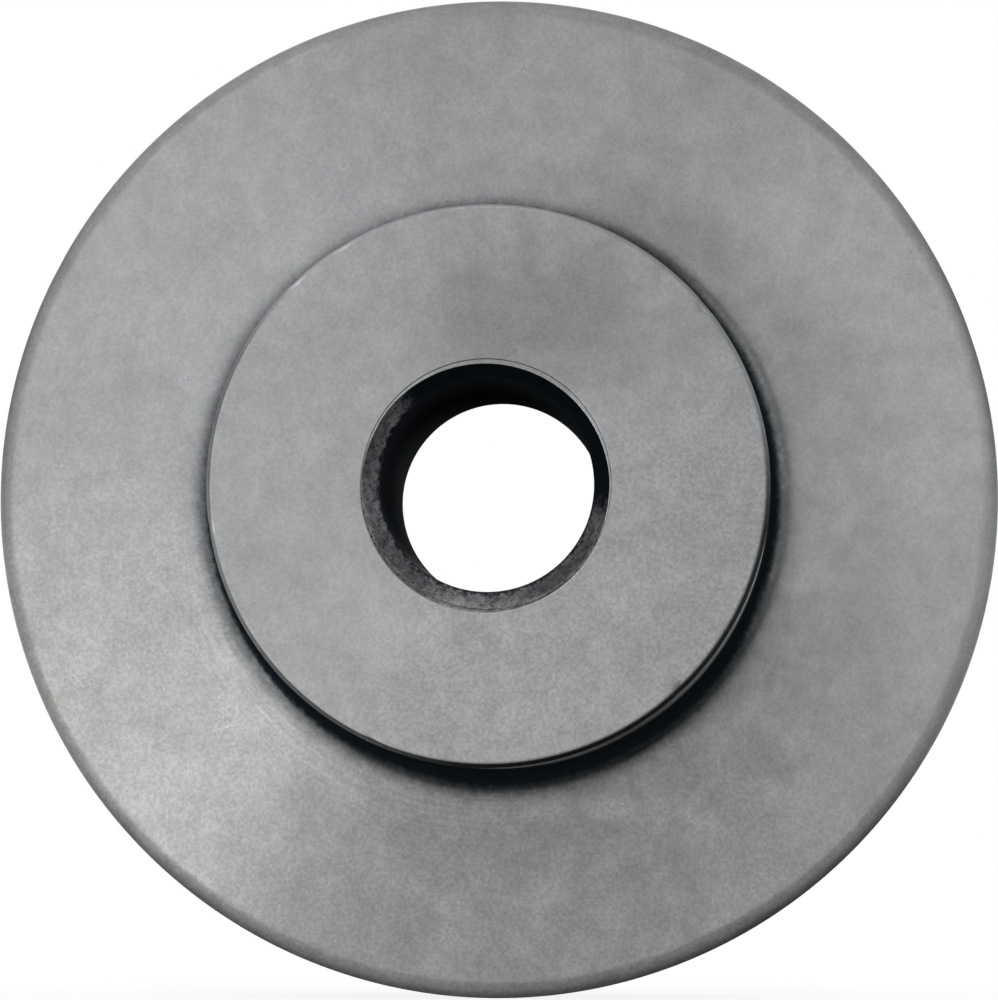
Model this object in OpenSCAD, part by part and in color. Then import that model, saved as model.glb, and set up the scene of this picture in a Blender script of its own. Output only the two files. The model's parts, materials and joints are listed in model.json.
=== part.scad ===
// Flanged seam roller: a turned steel roller that runs on an axle in a pressed-in plain bush.
// The axle lies along Y. The hub points towards -Y and the flange is behind it.
// The origin is on the axle's centre line, at the middle of the roller's length.
// All sizes are in millimetres.

/* [Roller] */
// Outside diameter of the flange
flange_d = 58.4; // [54:0.2:80]
// Thickness of the flange
flange_t = 8; // [5:0.5:12]
// Diameter of the hub, the tread that rolls along the seam
hub_d = 31.6; // [26:0.2:36]
// Length of the hub in front of the flange
hub_l = 11.5; // [8:0.5:20]
// Diameter of the thrust boss on the back of the flange
boss_d = 23; // [20:0.5:26]
// Height of the thrust boss behind the flange
boss_h = 1; // [0.5:0.1:3]

/* [Edges] */
// Radius of both rounded edges of the rim
rim_round = 0.95; // [0.3:0.05:2]
// Radius of the fillet where the hub meets the flange
base_fillet = 1.5; // [0.5:0.1:4]
// Chamfer on the hub's front edge
hub_chamfer = 0.25; // [0.1:0.05:1]
// Chamfer on the thrust boss's edge
boss_chamfer = 0.25; // [0.1:0.05:0.4]

/* [Bush] */
// Bore of the bush, which runs on the axle
bore_d = 12; // [8:0.5:13]
// Wall thickness of the bush
bush_wall = 1; // [1:0.25:2]
// Depth of the bush's front end below the hub's face
front_recess = 0.05; // [0.05:0.05:0.5]
// Depth of the bush's back end below the boss's face
back_recess = 0.45; // [0.05:0.05:1]
// Width of the chamfer at the bush's front mouth
front_mouth = 0.9; // [0.2:0.05:0.9]
// Width of the chamfer at the bush's back mouth
back_mouth = 0.4; // [0.2:0.05:0.9]
// Chamfer that leads the bush's outside edges into the roller
lead_chamfer = 0.05; // [0.02:0.01:0.08]

/* [Hidden] */
$fn = 128;

roller_l = hub_l + flange_t + boss_h;
front_end = roller_l / 2;
back_end = -roller_l / 2;
flange_back = back_end + boss_h;
flange_front = flange_back + flange_t;

flange_r = flange_d / 2;
hub_r = hub_d / 2;
boss_r = boss_d / 2;
bore_r = bore_d / 2;
bush_r = bore_r + bush_wall;
bush_front = front_end - front_recess;
bush_back = back_end + back_recess;

// How far a cutting or joining shape reaches past the surface that it works on
overlap = 0.5;

// Turns a half profile (X is the radius, Y runs towards the hub's face) about the axle
module turned() {
    rotate([90, 0, 0]) rotate_extrude() children();
}

// Fills the inside corner at the origin with a concave fillet
module inside_fillet(r) {
    difference() {
        translate([-overlap, -overlap]) square(r + overlap);
        translate([r, r]) circle(r);
    }
}

// A flange's half profile with both corners of its rim rounded
module flange_profile() {
    translate([0, flange_back]) square([flange_r - rim_round, flange_t]);
    translate([0, flange_back + rim_round]) square([flange_r, flange_t - 2 * rim_round]);
    for (y = [flange_back + rim_round, flange_front - rim_round])
        translate([flange_r - rim_round, y]) circle(rim_round);
}

// The hub's half profile, from inside the flange to its chamfered front face
module hub_profile() {
    polygon([
        [0, flange_back + overlap],
        [hub_r, flange_back + overlap],
        [hub_r, front_end - hub_chamfer],
        [hub_r - hub_chamfer, front_end],
        [0, front_end]
    ]);
}

// The back thrust boss's half profile, from inside the flange to its chamfered back face
module boss_profile() {
    polygon([
        [0, back_end],
        [boss_r - boss_chamfer, back_end],
        [boss_r, back_end + boss_chamfer],
        [boss_r, flange_front - overlap],
        [0, flange_front - overlap]
    ]);
}

// Turned steel body: hub, flange and back boss in one piece, bored through for the bush
module roller_body() {
    color([0.61, 0.61, 0.62])
        turned() difference() {
            union() {
                flange_profile();
                hub_profile();
                boss_profile();
                translate([hub_r, flange_front]) inside_fillet(base_fillet);
            }
            translate([-overlap, back_end - overlap])
                square([bush_r + overlap, roller_l + 2 * overlap]);
        }
}

// Plain bush, pressed into the body's bore, with a wide chamfer at its front mouth
module bearing_bush() {
    color([0.42, 0.42, 0.43])
        turned() polygon([
            [bore_r, bush_back + back_mouth],
            [bore_r + back_mouth, bush_back],
            [bush_r - lead_chamfer, bush_back],
            [bush_r, bush_back + lead_chamfer],
            [bush_r, bush_front - lead_chamfer],
            [bush_r - lead_chamfer, bush_front],
            [bore_r + front_mouth, bush_front],
            [bore_r, bush_front - front_mouth]
        ]);
}

roller_body();
bearing_bush();
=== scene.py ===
"""Looks for the flanged seam roller: a turned steel body with a plain bush pressed into it."""
import json
import math

import bpy
import numpy as np
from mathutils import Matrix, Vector


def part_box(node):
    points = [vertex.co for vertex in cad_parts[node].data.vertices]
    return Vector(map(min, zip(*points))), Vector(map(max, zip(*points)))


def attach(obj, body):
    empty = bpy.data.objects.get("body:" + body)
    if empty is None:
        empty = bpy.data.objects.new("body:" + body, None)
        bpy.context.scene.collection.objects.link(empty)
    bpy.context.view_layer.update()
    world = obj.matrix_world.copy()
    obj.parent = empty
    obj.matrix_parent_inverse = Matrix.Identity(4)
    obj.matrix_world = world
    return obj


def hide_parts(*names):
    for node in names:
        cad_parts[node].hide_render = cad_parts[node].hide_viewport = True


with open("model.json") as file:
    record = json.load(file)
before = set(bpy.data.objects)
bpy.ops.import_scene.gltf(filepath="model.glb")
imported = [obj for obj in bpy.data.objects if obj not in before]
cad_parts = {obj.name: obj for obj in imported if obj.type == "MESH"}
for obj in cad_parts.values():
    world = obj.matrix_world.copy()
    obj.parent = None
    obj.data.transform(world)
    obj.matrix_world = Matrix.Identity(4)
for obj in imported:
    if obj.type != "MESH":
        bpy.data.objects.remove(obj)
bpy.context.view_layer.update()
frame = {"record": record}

MM = 0.001

# ---------------------------------------------------------------------------------------------
# Sizes, in metres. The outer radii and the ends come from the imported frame, the rest repeats the
# design, apart from the hub's chamfer and the bush's lead, which are finer here, as in the photo.
# ---------------------------------------------------------------------------------------------
body_low, body_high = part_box("roller_body")
bush_low, bush_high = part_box("bearing_bush")
mounts = {m["name"]: m for m in frame["record"]["mounts"]}


def round_fit(low, high):
    """Largest radius round the axle that stays inside a box."""
    return min(-low.x, high.x, -low.z, high.z)


FRONT_Y, BACK_Y = body_low.y, body_high.y
FLANGE_R = round_fit(body_low, body_high)
BUSH_R = round_fit(bush_low, bush_high)
BUSH_FRONT_Y, BUSH_BACK_Y = bush_low.y, bush_high.y
BORE_R = mounts["axle_bore"]["dims"]["r_mm"] * MM

HUB_R = 15.8 * MM
HUB_LENGTH = 11.5 * MM
BOSS_R = 11.5 * MM
BOSS_HEIGHT = 1.0 * MM
RIM_ROUND = 0.95 * MM
BASE_FILLET = 1.5 * MM
HUB_CHAMFER = 0.22 * MM
BOSS_CHAMFER = 0.25 * MM
SEAT_BREAK = 0.02 * MM
FRONT_MOUTH = 0.9 * MM
BACK_MOUTH = 0.4 * MM
BUSH_LEAD = 0.015 * MM

FLANGE_FRONT_Y = FRONT_Y + HUB_LENGTH
FLANGE_BACK_Y = BACK_Y - BOSS_HEIGHT

# Roundings of the edges that the design leaves sharp: most of them, those by the bush's seat,
# where the mouth's cone meets the face and the bore, its counterpart at the back, and the boss's
# root
EDGE_SOFTNESS = 0.03 * MM
FINE_EDGE = 0.01 * MM
MOUTH_LIP = 0.015 * MM
MOUTH_THROAT = 0.35 * MM
BACK_THROAT = 0.15 * MM
BOSS_FILLET = 0.2 * MM

# Spacing of the points on a straight stretch, and round the axle
FLAT_FIRST = 0.03 * MM
FLAT_FIRST_SHARE = 1 / 8
FLAT_GROWTH = 2.4
FLAT_LAST_SHARE = 0.45
BODY_SEGMENTS = 384
BUSH_SEGMENTS = 320

# The mouth's cone is cut off centre. It blends into the round parts over these lengths.
MOUTH_SPREAD = -0.01 * MM
MOUTH_OFFSET = 0.26 * MM
MOUTH_OFFSET_ANGLE = math.radians(-106)
MOUTH_FADE = 3 * MM
CONE_REACH = 1.4 * FRONT_MOUTH
SINK_FADE = 4 * FRONT_MOUTH
FACE_DEPTH = 1.5 * SEAT_BREAK

# The hub's outside is turned off centre. The shift sets in a little way outside the bush.
HUB_OFFSET = 0.10 * MM
HUB_OFFSET_ANGLE = math.radians(-45)
HUB_FADE_START = 1 * MM
HUB_FADE = 4 * MM

# Nicks on the edges: edge radius and y in metres, place round the axis in degrees
# anticlockwise from +X as seen from the front, width and depth in millimetres.
HUB_EDGE = (HUB_R - HUB_CHAMFER / 2, FRONT_Y + HUB_CHAMFER / 2)
RIM_EDGE = (FLANGE_R - 0.3 * RIM_ROUND, FLANGE_FRONT_Y + 0.3 * RIM_ROUND)
CHIPS = [
    (*HUB_EDGE, -114, 0.35, 0.05),
    (*HUB_EDGE, 133, 0.30, 0.06),
    (*HUB_EDGE, 121, 0.35, 0.05),
    (*HUB_EDGE, 39, 0.40, 0.05),
    (*HUB_EDGE, -47, 0.30, 0.07),
    (*HUB_EDGE, -171, 0.35, 0.05),
    (*RIM_EDGE, 18, 0.60, 0.06),
    (*RIM_EDGE, -76, 0.50, 0.05),
    (*RIM_EDGE, 152, 0.70, 0.05),
]
CHIP_SECTION = 0.7  # a nick's width across the edge, as a share of its width along it


# ---------------------------------------------------------------------------------------------
# Profiles. A profile is a closed list of (radius, y) points, walked with the metal on its left.
# ---------------------------------------------------------------------------------------------
def soften(corners, softness):
    """Turns an outline's corners, given as (radius, y, round-over radius, steps), into arcs."""
    arcs = []
    count = len(corners)
    for i, (x, y, rounding, steps) in enumerate(corners):
        here = Vector((x, y))
        before = (Vector(corners[i - 1][:2]) - here).normalized()
        after = (Vector(corners[(i + 1) % count][:2]) - here).normalized()
        half_turn = before.angle(after) / 2
        arc_radius = rounding or softness
        reach = arc_radius / math.tan(half_turn)
        start, end = here + before * reach, here + after * reach
        centre = here + (before + after).normalized() * (arc_radius / math.sin(half_turn))
        first, last = start - centre, end - centre
        sweep = first.angle(last)
        points = []
        for k in range(steps + 1):
            t = k / steps
            arm = first * math.sin((1 - t) * sweep) + last * math.sin(t * sweep)
            points.append(centre + arm / math.sin(sweep))
        arcs.append(points)
    return arcs


def fill_flats(arcs):
    """Joins the arcs with straight stretches, whose points are close together next to the arcs."""
    outline = []
    for i, arc in enumerate(arcs):
        here, after = arc[-1], arcs[(i + 1) % len(arcs)][0]
        length = (after - here).length
        steps = []
        reach = min(FLAT_FIRST, length * FLAT_FIRST_SHARE)
        while reach < FLAT_LAST_SHARE * length:
            steps.append(reach / length)
            reach *= FLAT_GROWTH
        fractions = steps + [1 - t for t in reversed(steps)]
        outline += arc + [here.lerp(after, t) for t in fractions]
    return outline


def body_profile():
    """The steel body's half section: hub face, tread, fillet, flange, rim, back boss and seat."""
    corners = [
        (BUSH_R, FRONT_Y + SEAT_BREAK, FINE_EDGE, 1),
        (BUSH_R + SEAT_BREAK, FRONT_Y, FINE_EDGE, 1),
        (HUB_R - HUB_CHAMFER, FRONT_Y, 0, 3),
        (HUB_R, FRONT_Y + HUB_CHAMFER, 0, 3),
        (HUB_R, FLANGE_FRONT_Y, BASE_FILLET, 18),
        (FLANGE_R, FLANGE_FRONT_Y, RIM_ROUND, 16),
        (FLANGE_R, FLANGE_BACK_Y, RIM_ROUND, 14),
        (BOSS_R, FLANGE_BACK_Y, BOSS_FILLET, 5),
        (BOSS_R, BACK_Y - BOSS_CHAMFER, 0, 3),
        (BOSS_R - BOSS_CHAMFER, BACK_Y, 0, 3),
        (BUSH_R + SEAT_BREAK, BACK_Y, FINE_EDGE, 1),
        (BUSH_R, BACK_Y - SEAT_BREAK, FINE_EDGE, 1),
    ]
    return fill_flats(soften(corners, EDGE_SOFTNESS))


def bush_profile():
    """The bush's half section: a wide chamfer at the front mouth and a narrow one at the back."""
    corners = [
        (BORE_R, BUSH_FRONT_Y + FRONT_MOUTH, MOUTH_THROAT, 8),
        (BORE_R + FRONT_MOUTH, BUSH_FRONT_Y, MOUTH_LIP, 2),
        (BUSH_R - BUSH_LEAD, BUSH_FRONT_Y, FINE_EDGE, 1),
        (BUSH_R, BUSH_FRONT_Y + BUSH_LEAD, FINE_EDGE, 1),
        (BUSH_R, BUSH_BACK_Y - BUSH_LEAD, FINE_EDGE, 1),
        (BUSH_R - BUSH_LEAD, BUSH_BACK_Y, FINE_EDGE, 1),
        (BORE_R + BACK_MOUTH, BUSH_BACK_Y, 0, 3),
        (BORE_R, BUSH_BACK_Y - BACK_MOUTH, BACK_THROAT, 5),
    ]
    return fill_flats(soften(corners, EDGE_SOFTNESS))


# ---------------------------------------------------------------------------------------------
# Wear and other unevenness: these move the turned rows of points, given as radius and y
# ---------------------------------------------------------------------------------------------
def mouth_edge(angles):
    """Radius where the mouth's cone, cut a little off centre, meets the hub's face."""
    return BUSH_R + MOUTH_SPREAD + MOUTH_OFFSET * np.cos(angles - MOUTH_OFFSET_ANGLE)


def cut_bush(radius, along, angles):
    """Cuts the mouth's cone, a little off centre, into the bush's front end."""
    outer = BORE_R + FRONT_MOUTH
    lip = BUSH_R - BUSH_LEAD
    recess = BUSH_FRONT_Y - FRONT_Y
    sink = np.clip(mouth_edge(angles) - outer - recess, 0, None)
    narrow = np.clip(mouth_edge(angles) - outer, None, 0)
    depth = along - BUSH_FRONT_Y
    on_front = np.clip(1 - (depth - FRONT_MOUTH) / SINK_FADE, 0, 1)
    on_chamfer = np.clip((radius - BORE_R) / FRONT_MOUTH, 0, 1)
    on_land = np.clip((lip - radius) / (lip - outer), 0, 1)
    inward = np.where(radius <= outer, on_chamfer, on_land) * (depth < CONE_REACH)
    past_cone = np.clip(radius - outer, 0, None)
    lowered = np.maximum(along, along + sink * on_front - past_cone)
    return radius + narrow * inward, lowered


def widen_seat(radius, along, angles):
    """Carries the mouth's cone on into the body, where it is wider than the bush."""
    grow = np.clip(mouth_edge(angles) - BUSH_R - SEAT_BREAK, 0, None)
    across_break = np.clip((radius - BUSH_R) / SEAT_BREAK, 0, 1)
    on_face = along < FRONT_Y + FACE_DEPTH
    near_seat = np.clip(1 - (radius - BUSH_R - SEAT_BREAK) / MOUTH_FADE, 0, 1)
    near_front = np.clip(1 - (along - FRONT_Y - SEAT_BREAK) / MOUTH_FADE, 0, 1)
    outward = on_face * across_break * near_seat
    inward = (1 - across_break) * near_front
    return radius + grow * outward, along + grow * inward


def shift_hub(radius, along, angles):
    """Moves the hub's outside a little off centre, and leaves its mouth and the flange alone."""
    outside = np.clip((radius - BUSH_R - HUB_FADE_START) / HUB_FADE, 0, 1)
    on_hub = outside * np.clip((FLANGE_FRONT_Y - along) / BASE_FILLET, 0, 1)
    return radius + HUB_OFFSET * on_hub * np.cos(angles - HUB_OFFSET_ANGLE), along


def nick_edges(radius, along, angles):
    """Presses the small nicks into the hub's and the rim's edges."""
    for edge_r, edge_y, degrees, width, depth in CHIPS:
        turned = np.angle(np.exp(1j * (angles - math.radians(degrees))))
        around = turned * edge_r / (width * MM)
        across = np.hypot(radius - edge_r, along - edge_y) / (CHIP_SECTION * width * MM)
        press = depth * MM * np.exp(-around ** 2 - across ** 2)
        radius = radius - press
        along = along + press
    return radius, along


def worn_body(radius, along, angles):
    """All of the body's unevenness."""
    for change in (widen_seat, shift_hub, nick_edges):
        radius, along = change(radius, along, angles)
    return radius, along


def lathe(name, profile, segments, reshape):
    """Turns a closed (radius, y) outline about the Y axis into a closed mesh object."""
    ring = np.array([(p.x, p.y) for p in profile])
    angles = np.arange(segments) * (2 * math.pi / segments)
    radius = np.repeat(ring[:, :1], segments, axis=1)
    along = np.repeat(ring[:, 1:], segments, axis=1)
    radius, along = reshape(radius, along, angles)
    points = np.stack([radius * np.cos(angles), along, radius * np.sin(angles)], axis=-1)
    i, j = np.meshgrid(np.arange(len(ring)), np.arange(segments), indexing="ij")
    row, next_row = i * segments, (i + 1) % len(ring) * segments
    next_j = (j + 1) % segments
    quads = np.stack([row + j, row + next_j, next_row + next_j, next_row + j], axis=-1)
    mesh = bpy.data.meshes.new(name)
    mesh.from_pydata(points.reshape(-1, 3).tolist(), [], quads.reshape(-1, 4).tolist())
    mesh.polygons.foreach_set("use_smooth", [True] * len(mesh.polygons))
    mesh.update()
    piece = bpy.data.objects.new(name, mesh)
    bpy.context.scene.collection.objects.link(piece)
    return piece


# ---------------------------------------------------------------------------------------------
# Material building blocks. Sizes in the materials are millimetres on the object.
# ---------------------------------------------------------------------------------------------
BUMP_HEIGHT = 0.02 * MM


class Graph:
    """Builds one material's nodes, with short calls for the kinds that repeat."""

    def __init__(self, name):
        self.material = bpy.data.materials.new(name)
        self.material.use_nodes = True
        self.tree = self.material.node_tree
        self.shader = self.tree.nodes["Principled BSDF"]
        metres = self.add("ShaderNodeTexCoord").outputs["Object"]
        scaled = self.add("ShaderNodeVectorMath", {0: metres, "Scale": 1 / MM}, operation="SCALE")
        self.place = scaled.outputs[0]
        self.x, self.y, self.z = self.add("ShaderNodeSeparateXYZ", {0: self.place}).outputs
        self.radius = self.length(self.x, self.z)
        self.path = self.math("ADD", self.radius, self.y)

    def put(self, socket, value):
        """Links a socket to another node's output, or sets it to a plain number or colour."""
        if isinstance(value, bpy.types.NodeSocket):
            self.tree.links.new(value, socket)
        else:
            socket.default_value = value

    def add(self, kind, inputs=None, **settings):
        """Adds a node with the given settings and inputs."""
        node = self.tree.nodes.new(kind)
        for key, value in settings.items():
            setattr(node, key, value)
        for key, value in (inputs or {}).items():
            self.put(node.inputs[key], value)
        return node

    def math(self, operation, a, b=0.0):
        """Result of one sum."""
        return self.add("ShaderNodeMath", {0: a, 1: b}, operation=operation).outputs[0]

    def length(self, a, b):
        """Length of a vector in a plane, from its two parts."""
        squares = self.math("MULTIPLY", a, a), self.math("MULTIPLY", b, b)
        return self.math("SQRT", self.math("ADD", *squares))

    def fade(self, value, start, end, low=0.0, high=1.0):
        """Goes smoothly from low to high as value goes from start to end."""
        inputs = {"Value": value, "From Min": start, "From Max": end, "To Min": low, "To Max": high}
        node = self.add("ShaderNodeMapRange", inputs, interpolation_type="SMOOTHSTEP")
        return node.outputs["Result"]

    def noise(self, size, detail=3.0, roughness=0.55, vector=None, seed=0.0):
        """Soft noise from 0 to 1, with patches of about the given size."""
        inputs = {
            "Vector": vector or self.place,
            "W": seed,
            "Scale": 1 / size,
            "Detail": detail,
            "Roughness": roughness,
        }
        return self.add("ShaderNodeTexNoise", inputs, noise_dimensions="4D").outputs["Fac"]

    def blend(self, factor, a, b, how="MIX"):
        """Goes from colour a to colour b as the factor goes from 0 to 1."""
        node = self.tree.nodes.new("ShaderNodeMix")
        node.data_type, node.blend_type = "RGBA", how
        for index, value in ((0, factor), (6, a), (7, b)):
            self.put(node.inputs[index], value)
        return node.outputs[2]

    def shade(self, colour, level):
        """Multiplies a colour by a grey level."""
        grey = self.add("ShaderNodeCombineColor", {0: level, 1: level, 2: level}).outputs[0]
        return self.blend(1.0, colour, grey, "MULTIPLY")

    def facing(self, degrees):
        """Cosine of the angle between a place's direction from the axis and a given one."""
        x_part = self.math("MULTIPLY", self.x, math.cos(math.radians(degrees)))
        z_part = self.math("MULTIPLY", self.z, math.sin(math.radians(degrees)))
        return self.math("DIVIDE", self.math("ADD", x_part, z_part), self.radius)

    def spot(self, x, z, squash=1.0):
        """Distance in the face's plane from a point, with the width divided by squash."""
        aside = self.math("MULTIPLY", self.math("SUBTRACT", self.x, x), squash)
        return self.length(aside, self.math("SUBTRACT", self.z, z))

    def rings(self, stretch):
        """Coordinates that run along the turned outline, and hardly change around the axis."""
        around = self.add("ShaderNodeVectorMath", {0: self.place}, operation="NORMALIZE").outputs[0]
        x, _, z = self.add("ShaderNodeSeparateXYZ", {0: around}).outputs
        aside, above = self.math("MULTIPLY", x, stretch), self.math("MULTIPLY", z, stretch)
        return self.add("ShaderNodeCombineXYZ", {0: aside, 1: self.path, 2: above}).outputs[0]

    def finish(self, colour, metallic, roughness, height, bump_strength):
        """Puts the results into the shader and returns the material."""
        self.put(self.shader.inputs["Base Color"], colour)
        self.put(self.shader.inputs["Metallic"], metallic)
        self.put(self.shader.inputs["Roughness"], roughness)
        inputs = {"Height": height, "Strength": bump_strength, "Distance": BUMP_HEIGHT}
        bump = self.add("ShaderNodeBump", inputs)
        self.put(self.shader.inputs["Normal"], bump.outputs[0])
        return self.material


# ---------------------------------------------------------------------------------------------
# Materials. Angles are degrees anticlockwise from +X as seen from the front.
# ---------------------------------------------------------------------------------------------
COOL_STEEL = (0.526, 0.536, 0.551, 1)
FACE_STEEL = (0.530, 0.536, 0.543, 1)
FLANGE_STEEL = (0.528, 0.536, 0.533, 1)
# Painted shade: the near-black colour painted round the root of the hub
ROOT_SHADE = (0.0115, 0.0175, 0.0229, 1)
BUSH_DARK = (0.27, 0.27, 0.285, 1)
BUSH_BRIGHT = (0.72, 0.72, 0.74, 1)
BUSH_PORE = (0.04, 0.04, 0.045, 1)
# Painted shade colours: the mouth's upper side, and the bore's wall
MOUTH_SHADE = (0.006, 0.009, 0.012, 1)
BORE_SHADE = (0.036, 0.045, 0.054, 1)

STEEL_BUMP = 0.2
BUSH_BUMP = 0.3
BUSH_ROUGHNESS = 0.32

LOWER_RIGHT = -50
LOWER_LEFT = -125
BELOW = -110
# Side where the painted shadow of the hub pools, below right
SHADOW_SIDE = -65
TOP = 80
SMUDGE_AT = (2.2, 9.3)
SCUFFS_AT = (-6.2, -7.6)
# Shift of the painted root shade's centre off the axle, in millimetres
ROOT_SHADE_SHIFT = 0.25

HUB_MM = HUB_R / MM
HUB_FACE_MM = (HUB_R - HUB_CHAMFER) / MM
FLANGE_MM = FLANGE_R / MM
RIM_MM = (FLANGE_R - RIM_ROUND) / MM
FLANGE_FRONT_MM = FLANGE_FRONT_Y / MM
BORE_MM = BORE_R / MM
THROAT_MM = (BUSH_FRONT_Y + FRONT_MOUTH) / MM


def steel_colour(graph, busy_side, pale):
    """Grey with soft clouds, faint tints and a speckle that is strongest towards one side."""
    tint = graph.fade(graph.noise(14.0, detail=1.0, roughness=0.5, seed=7.0), 0.35, 0.65)
    colour = graph.blend(tint, COOL_STEEL, pale)
    clouds = graph.noise(5.0, detail=3.0, roughness=0.6)
    clouds = graph.fade(clouds, 0.3, 0.7, low=0.955, high=1.04)
    mottle = graph.noise(1.5, detail=4.0, roughness=0.6, seed=3.0)
    mottle = graph.fade(mottle, 0.3, 0.7, low=0.93, high=1.07)
    speckle = graph.noise(0.17, detail=2.0, roughness=0.5, seed=5.0)
    speckle = graph.fade(speckle, 0.3, 0.7, low=0.87, high=1.13)
    colour = graph.shade(graph.shade(colour, clouds), mottle)
    strength = graph.fade(graph.facing(busy_side), 0.0, 0.8, low=0.6, high=1.1)
    return graph.blend(strength, colour, graph.shade(colour, speckle))


def turning_lines(graph):
    """Fine rings on the flange, below and left of the hub, and how strongly they show where."""
    lines = graph.noise(0.2, detail=1.0, roughness=0.5, vector=graph.rings(1.0))
    lines = graph.fade(lines, 0.35, 0.65, low=0.93, high=1.07)
    begin = graph.fade(graph.radius, HUB_MM + 1.4, HUB_MM + 2.0)
    end = graph.fade(graph.radius, HUB_MM + 5.0, HUB_MM + 2.6)
    side = graph.fade(graph.facing(LOWER_LEFT), 0.6, 0.9)
    return lines, graph.math("MULTIPLY", side, graph.math("MULTIPLY", begin, end))


def grain(graph):
    """Fine tool grain: a short noise, and rings left by the turning tool."""
    pits = graph.noise(0.30, detail=2.0, roughness=0.5, seed=11.0)
    marks = graph.noise(0.14, detail=1.0, roughness=0.5, vector=graph.rings(2.0))
    return graph.math("ADD", graph.math("MULTIPLY", pits, 0.6), graph.math("MULTIPLY", marks, 0.4))


def unshaded_level(graph):
    """How unshaded the steel is: 0 in the painted shade round the root of the hub, which a painted
    shadow widens below right, 1 away from it.
    """
    from_centre = graph.length(graph.math("ADD", graph.x, ROOT_SHADE_SHIFT), graph.z)
    pooled_shadow = graph.fade(graph.facing(SHADOW_SIDE), 0.72, 0.92, low=0.0, high=-0.3)
    ragged = graph.noise(0.35, detail=4.0, roughness=0.7, seed=5.0)
    ragged = graph.fade(ragged, 0.2, 0.8, low=-0.12, high=0.12)
    place = graph.math("ADD", graph.math("ADD", from_centre, pooled_shadow), ragged)
    core = graph.fade(place, HUB_MM + 0.65, HUB_MM + 2.0)
    halo = graph.fade(place, HUB_MM + 1.3, HUB_MM + 2.9, low=0.82, high=1.0)
    on_tread = graph.fade(graph.y, FLANGE_FRONT_MM - 0.8, FLANGE_FRONT_MM - 2.5)
    behind = graph.fade(graph.y, FLANGE_FRONT_MM + 0.5, FLANGE_FRONT_MM + 1.0)
    on_flange = graph.math("MULTIPLY", core, halo)
    return graph.math("MAXIMUM", on_flange, graph.math("MAXIMUM", on_tread, behind))


def uneven_roughness(graph, smooth, rough):
    """Roughness that wanders between two values."""
    return graph.fade(graph.noise(2.2, detail=3.0, seed=21.0), 0.3, 0.7, low=smooth, high=rough)


def face_steel():
    """The ground front and back faces of the hub and boss, with a smudge above the bore and painted
    shade on the hub's chamfer.
    """
    graph = Graph("ground_steel_face")
    far = graph.spot(*SMUDGE_AT, squash=0.6)
    ragged = graph.noise(2.0, detail=4.0, roughness=0.7, seed=51.0)
    ragged = graph.fade(ragged, 0.2, 0.8, low=-1.6, high=1.6)
    smudge = graph.fade(graph.math("ADD", far, ragged), 1.0, 6.5, low=0.74, high=1.0)
    colour = steel_colour(graph, LOWER_RIGHT, FACE_STEEL)
    colour = graph.shade(colour, smudge)
    edge = graph.fade(graph.radius, HUB_FACE_MM - 0.10, HUB_FACE_MM + 0.16)
    # Painted shade on the hub's chamfer: slightly darker all round, much darker where it faces
    # lower right, and a little darker at the top
    low_edge_shade = graph.fade(graph.facing(LOWER_RIGHT), 0.3, 0.8, low=0.1, high=0.9)
    top_edge_shade = graph.fade(graph.facing(TOP), 0.3, 0.9, low=0.0, high=0.28)
    edge_shade = graph.math("MULTIPLY", edge, graph.math("MAXIMUM", low_edge_shade, top_edge_shade))
    colour = graph.shade(colour, graph.math("SUBTRACT", 1.0, edge_shade))
    scuffs = graph.math("ADD", graph.spot(*SCUFFS_AT), ragged)
    colour = graph.shade(colour, graph.fade(scuffs, 0.5, 5.0, low=1.07, high=1.0))
    roughness = uneven_roughness(graph, 0.32, 0.38)
    roughness = graph.math("ADD", roughness, graph.math("MULTIPLY", edge, 0.25))
    return graph.finish(colour, 1.0, roughness, grain(graph), STEEL_BUMP)


def flange_steel():
    """The turned flange and tread: their fine rings spread highlights across the rings."""
    graph = Graph("turned_steel_flange")
    unshaded = unshaded_level(graph)
    colour = steel_colour(graph, BELOW, FLANGE_STEEL)
    lines, where = turning_lines(graph)
    colour = graph.blend(where, colour, graph.shade(colour, lines))
    rim_shade = graph.fade(graph.radius, FLANGE_MM - 0.6, FLANGE_MM, low=1.0, high=0.7)
    # Painted shade: the steel goes near black round the root of the hub, with a painted shadow
    # pooled below right
    colour = graph.blend(unshaded, ROOT_SHADE, graph.shade(colour, rim_shade))
    tumbled = graph.fade(graph.radius, RIM_MM - 0.2, RIM_MM + 0.4, low=0.0, high=0.26)
    roughness = graph.math("ADD", uneven_roughness(graph, 0.27, 0.33), tumbled)
    graph.shader.inputs["Anisotropic"].default_value = 0.85
    graph.shader.inputs["Anisotropic Rotation"].default_value = 0.25
    graph.shader.inputs["Specular IOR Level"].default_value = 0.0
    tangent = graph.add("ShaderNodeTangent", direction_type="RADIAL", axis="Y").outputs[0]
    graph.put(graph.shader.inputs["Tangent"], tangent)
    # The painted shade is not metallic, so it stays black
    metallic = graph.fade(unshaded, 0.0, 0.15)
    return graph.finish(colour, metallic, roughness, grain(graph), STEEL_BUMP)


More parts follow.
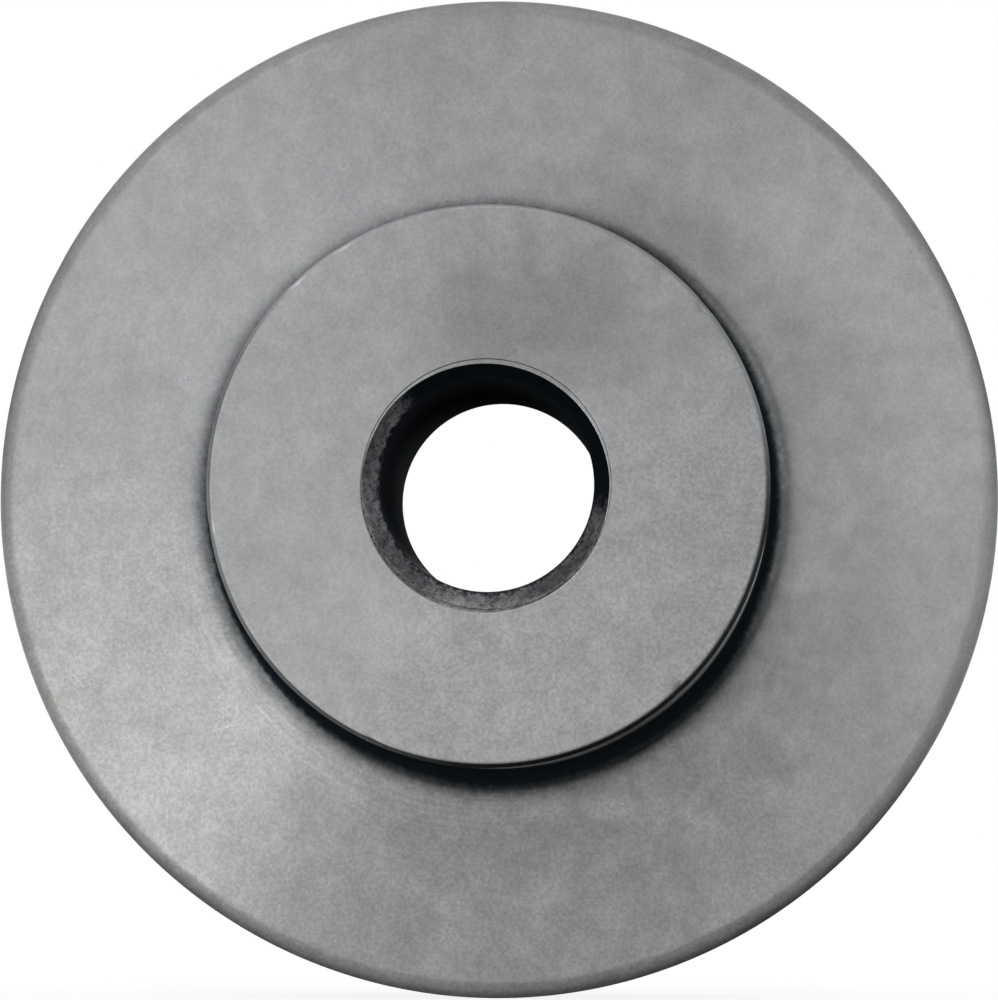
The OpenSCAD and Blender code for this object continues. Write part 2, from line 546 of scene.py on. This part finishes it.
def bush_metal():
    """The bush: darker, porous metal, with painted shade on its mouth's upper side and a near-black
    painted shade in the bore.
    """
    graph = Graph("bush_metal")
    cloud = graph.noise(0.45, detail=5.0, roughness=0.75, seed=41.0)
    pores = graph.fade(graph.noise(0.16, detail=3.0, roughness=0.7, seed=43.0), 0.56, 0.66)
    colour = graph.blend(graph.fade(cloud, 0.35, 0.65), BUSH_DARK, BUSH_BRIGHT)
    colour = graph.blend(pores, colour, BUSH_PORE)
    ragged = graph.fade(cloud, 0.3, 0.7, low=-0.15, high=0.15)
    # Painted shade: near black on the bore's wall, and dark on the upper right of the mouth, where
    # the mouth faces away from the lights
    wall = graph.fade(graph.math("ADD", graph.radius, ragged), BORE_MM + 0.42, BORE_MM + 0.05)
    aside = graph.math("MULTIPLY", graph.x, 0.55)
    slant = graph.math("ADD", aside, graph.math("ADD", graph.z, 0.6))
    streaks = graph.fade(cloud, 0.3, 0.7, low=-0.8, high=0.8)
    upper = graph.fade(graph.math("ADD", slant, streaks), 0.8, 3.4)
    near_front = graph.fade(graph.y, 0.0, -4.0)
    mouth_and_bore_shade = graph.math("MAXIMUM", wall, graph.math("MULTIPLY", upper, near_front))
    inside = graph.fade(graph.y, THROAT_MM - 0.2, THROAT_MM + 0.3)
    colour = graph.blend(mouth_and_bore_shade, colour, graph.blend(inside, MOUTH_SHADE, BORE_SHADE))
    metallic = graph.math("SUBTRACT", 1.0, graph.math("MULTIPLY", mouth_and_bore_shade, 0.9))
    graph.shader.inputs["Specular IOR Level"].default_value = 0.1
    return graph.finish(colour, metallic, BUSH_ROUGHNESS, cloud, BUSH_BUMP)


# ---------------------------------------------------------------------------------------------
# The pieces
# ---------------------------------------------------------------------------------------------
FACE, FLANGE, MOUTH = 0, 1, 2
MOUTH_WIDTH = 0.4 * MM
MOUTH_DEPTHS = (0.025 * MM, 0.5 * MM)
LAND_DEPTH = 0.01 * MM


def body_zone(x, y, z):
    """Which finish a patch of the body has, from its centre."""
    radius = math.hypot(x, z)
    in_mouth = FRONT_Y + MOUTH_DEPTHS[0] < y < FRONT_Y + MOUTH_DEPTHS[1]
    if radius < BUSH_R + MOUTH_WIDTH and in_mouth:
        return MOUTH
    on_boss = radius < BOSS_R + EDGE_SOFTNESS and y > FLANGE_FRONT_Y
    if y < FRONT_Y + HUB_CHAMFER + EDGE_SOFTNESS or on_boss:
        return FACE
    return FLANGE


def make_body(face, flange, mouth):
    """The steel body, with a finish for each of its zones."""
    body = lathe("roller_body_steel", body_profile(), BODY_SEGMENTS, worn_body)
    for material in (face, flange, mouth):
        body.data.materials.append(material)
    for patch in body.data.polygons:
        patch.material_index = body_zone(*patch.center)
    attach(body, "root")
    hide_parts("roller_body")


def make_bush(metal, land):
    """The bush, whose narrow front land has the same ground finish as the hub's face."""
    bush = lathe("bearing_bush_sleeve", bush_profile(), BUSH_SEGMENTS, cut_bush)
    bush.data.materials.append(metal)
    bush.data.materials.append(land)
    for patch in bush.data.polygons:
        patch.material_index = int(patch.center.y < BUSH_FRONT_Y + LAND_DEPTH)
    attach(bush, "root")
    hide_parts("bearing_bush")


# ---------------------------------------------------------------------------------------------
# Camera, backdrop, floor and lights
# ---------------------------------------------------------------------------------------------
CAMERA_AZIMUTH = 2.757
CAMERA_ELEVATION = -3.388
CAMERA_DISTANCE = 278.2 * MM
CAMERA_TARGET = Vector((0.228, 0, -0.314)) * MM
CAMERA_LENS = 172.64
CAMERA_SENSOR = 36
CAMERA_CLIP = (0.01, 20)

DOME_STRENGTH = 0.23
DOME_FADES = {"Y": (0.75, 0.2), "Z": (-0.3, 0.5)}  # each axis: where the dome is black, and full

FLOOR_HALF = 3.0
CONTACT_REACH = 20 * MM
CONTACT_SHADE = 0.88

LIGHT_DISTANCE = 0.6
WARM = (1.0, 0.98, 0.94)
# Azimuth and elevation in degrees, diameter in metres, power in watts, and a colour if not white
LIGHTS = {
    "front": (0, 0, 0.16, 0.049),
    "near_left": (-8, 0, 0.12, 0.028),
    "near_upper_left": (-8, 8, 0.12, 0.018),
    "near_right": (16, 2, 0.10, 0.017),
    "top": (0, 28, 0.14, 0.057),
    "left": (-24, 0, 0.14, 0.026),
    "low_left": (-18, -13, 0.10, 0.112, WARM),
    "far_low_left": (-34, -14, 0.22, 0.33, WARM),
    "far_left": (-36, 0, 0.22, 0.21),
    "far_upper_left": (-32, 18, 0.22, 0.23),
    "high_left": (-24, 34, 0.22, 0.24),
    "upper_right": (34, 24, 0.22, 0.12),
    "far_right": (55, 5, 0.40, 0.33),
    "low_right": (48, -25, 0.40, 0.18),
    "under": (0, -50, 0.40, 0.11),
    "under_left": (-30, -42, 0.40, 0.09),
    "overhead": (0, 80, 0.50, 0.43),
    "back_left": (-130, 45, 0.40, 0.5),
    "back_right": (130, 45, 0.40, 0.5),
    "back_high": (180, 38, 0.50, 0.8),
    "back_low_left": (-122, -10, 0.40, 0.7),
    "back_low_right": (122, -10, 0.40, 0.7),
}


def direction(azimuth, elevation):
    """Unit vector from the object towards a place seen at these angles, in degrees."""
    a, e = math.radians(azimuth), math.radians(elevation)
    return Vector((math.sin(a) * math.cos(e), -math.cos(a) * math.cos(e), math.sin(e)))


def make_camera():
    """The camera, where the photo's outlines put it."""
    camera = bpy.data.objects.new("camera", bpy.data.cameras.new("camera"))
    back = direction(CAMERA_AZIMUTH, CAMERA_ELEVATION)
    camera.location = CAMERA_TARGET + back * CAMERA_DISTANCE
    camera.rotation_mode = "QUATERNION"
    camera.rotation_quaternion = (-back).to_track_quat("-Z", "Y")
    camera.data.sensor_width = CAMERA_SENSOR
    camera.data.lens = CAMERA_LENS
    camera.data.clip_start, camera.data.clip_end = CAMERA_CLIP
    bpy.context.scene.collection.objects.link(camera)
    bpy.context.scene.camera = camera


def make_world():
    """White behind everything for the camera. For the metal, a dim dome, black behind and below."""
    world = bpy.data.worlds.new("studio")
    world.use_nodes = True
    tree = world.node_tree
    white = tree.nodes["Background"]
    white.inputs["Color"].default_value = (1, 1, 1, 1)
    dome = tree.nodes.new("ShaderNodeBackground")
    dome.inputs["Strength"].default_value = DOME_STRENGTH
    axes = tree.nodes.new("ShaderNodeSeparateXYZ")
    tree.links.new(tree.nodes.new("ShaderNodeTexCoord").outputs["Generated"], axes.inputs[0])
    both = tree.nodes.new("ShaderNodeMath")
    both.operation = "MULTIPLY"
    for index, (axis, (black_at, full_at)) in enumerate(DOME_FADES.items()):
        fade = tree.nodes.new("ShaderNodeMapRange")
        fade.interpolation_type = "SMOOTHSTEP"
        fade.inputs["From Min"].default_value = black_at
        fade.inputs["From Max"].default_value = full_at
        tree.links.new(axes.outputs[axis], fade.inputs["Value"])
        tree.links.new(fade.outputs["Result"], both.inputs[index])
    tree.links.new(both.outputs[0], dome.inputs["Color"])
    choose = tree.nodes.new("ShaderNodeMixShader")
    tree.links.new(tree.nodes.new("ShaderNodeLightPath").outputs["Is Camera Ray"], choose.inputs[0])
    tree.links.new(dome.outputs[0], choose.inputs[1])
    tree.links.new(white.outputs[0], choose.inputs[2])
    tree.links.new(choose.outputs[0], tree.nodes["World Output"].inputs["Surface"])
    bpy.context.scene.world = world


def make_floor():
    """A pale floor under the rim, with a soft contact shade, that only the camera sees."""
    mesh = bpy.data.meshes.new("floor")
    square = ((-1, -1), (1, -1), (1, 1), (-1, 1))
    corners = [(x * FLOOR_HALF, y * FLOOR_HALF, body_low.z) for x, y in square]
    mesh.from_pydata(corners, [], [(0, 1, 2, 3)])
    material = bpy.data.materials.new("pale_floor")
    material.use_nodes = True
    tree = material.node_tree
    tree.nodes.remove(tree.nodes["Principled BSDF"])
    glow = tree.nodes.new("ShaderNodeEmission")
    contact = tree.nodes.new("ShaderNodeAmbientOcclusion")
    contact.inputs["Distance"].default_value = CONTACT_REACH
    shade = tree.nodes.new("ShaderNodeMapRange")
    shade.inputs["To Min"].default_value = CONTACT_SHADE
    tree.links.new(contact.outputs["AO"], shade.inputs["Value"])
    tree.links.new(shade.outputs["Result"], glow.inputs["Color"])
    tree.links.new(glow.outputs[0], tree.nodes["Material Output"].inputs["Surface"])
    mesh.materials.append(material)
    floor = bpy.data.objects.new("floor", mesh)
    bpy.context.scene.collection.objects.link(floor)
    for ray in ("diffuse", "glossy", "transmission", "shadow"):
        setattr(floor, "visible_" + ray, False)


def make_light(name, azimuth, elevation, size, energy, colour=(1, 1, 1)):
    """A round soft light, aimed at the object from LIGHT_DISTANCE away."""
    data = bpy.data.lights.new(name, "AREA")
    data.shape = "DISK"
    data.size = size
    data.energy = energy
    data.color = colour
    light = bpy.data.objects.new(name, data)
    away = direction(azimuth, elevation)
    light.location = away * LIGHT_DISTANCE
    light.rotation_mode = "QUATERNION"
    light.rotation_quaternion = away.to_track_quat("Z", "Y")
    light.visible_camera = False
    bpy.context.scene.collection.objects.link(light)


bush_finish = bush_metal()
face_finish = face_steel()
make_body(face_finish, flange_steel(), bush_finish)
make_bush(bush_finish, face_finish)
make_camera()
make_world()
make_floor()
for light_name, settings in LIGHTS.items():
    make_light(light_name, *settings)
bpy.context.scene.view_settings.view_transform = "Standard"
